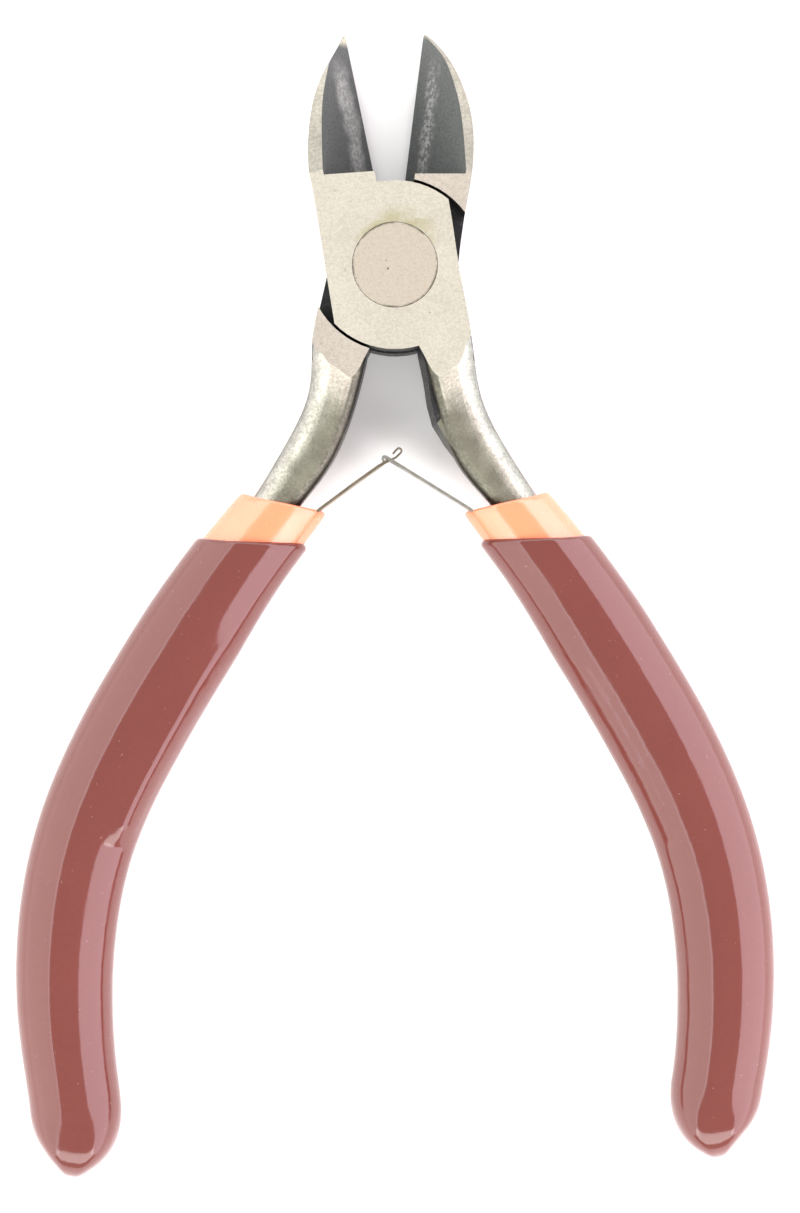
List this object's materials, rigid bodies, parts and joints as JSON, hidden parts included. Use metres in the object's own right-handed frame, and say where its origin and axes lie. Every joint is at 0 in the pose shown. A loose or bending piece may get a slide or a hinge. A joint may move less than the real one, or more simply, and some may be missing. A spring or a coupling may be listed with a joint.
{
  "type": "flush cutter",
  "caption": "Small side cutter with a flush lap joint, sprung open by crossed leaf springs, with long dipped grips.",
  "frame": {"origin": "on the pivot axis, at the flat back of the lap joint that the tool lies on", "axes": "+Z out of the front of the joint, +Y towards the jaws, +X to the right jaw's side"},
  "size_m": [0.0768, 0.1161, 0.009],
  "materials": {
    "forged_steel": "ground flats, satin forged necks, dark unground bevels",
    "rivet_steel": "ground flush",
    "spring_steel": "blued strip, dull",
    "base_pvc": "glossy dipped PVC",
    "outer_pvc": "glossy dipped PVC"
  },
  "bodies": {
    "rear_half": {"rear_lever": "forged_steel", "pivot_rivet": "rivet_steel", "left_leaf_tail": "spring_steel", "left_spring_rivet": "rivet_steel", "left_grip_base": "base_pvc", "left_grip_outer": "outer_pvc"},
    "front_half": {"front_lever": "forged_steel", "right_leaf_tail": "spring_steel", "right_spring_rivet": "rivet_steel", "right_grip_base": "base_pvc", "right_grip_outer": "outer_pvc"},
    "left_leaf": {"left_leaf_spring": "spring_steel"},
    "right_leaf": {"right_leaf_spring": "spring_steel"}
  },
  "joints": [
    {"name": "pivot", "type": "hinge", "parent": "rear_half", "child": "front_half", "pos_m": [0, 0, 0.0045], "axis": [0, 0, -1], "range_deg": [0, 18.75], "stiffness_Nm_per_rad": 1, "springref_deg": -2.86},
    {"name": "left_leaf_flex", "type": "hinge", "parent": "rear_half", "child": "left_leaf", "pos_m": [-0.0078, -0.02455, 0.0045], "axis": [0, 0, 1], "range_deg": [0, 24], "deforming": ["left_leaf_spring"]},
    {"name": "right_leaf_flex", "type": "hinge", "parent": "front_half", "child": "right_leaf", "pos_m": [0.0078, -0.02455, 0.0045], "axis": [0, 0, -1], "range_deg": [0, 24], "deforming": ["right_leaf_spring"]}
  ],
  "couplings": [
    {"joint": "left_leaf_flex", "follows": "pivot", "ratio": 1.12},
    {"joint": "right_leaf_flex", "follows": "pivot", "ratio": 1.12}
  ]
}
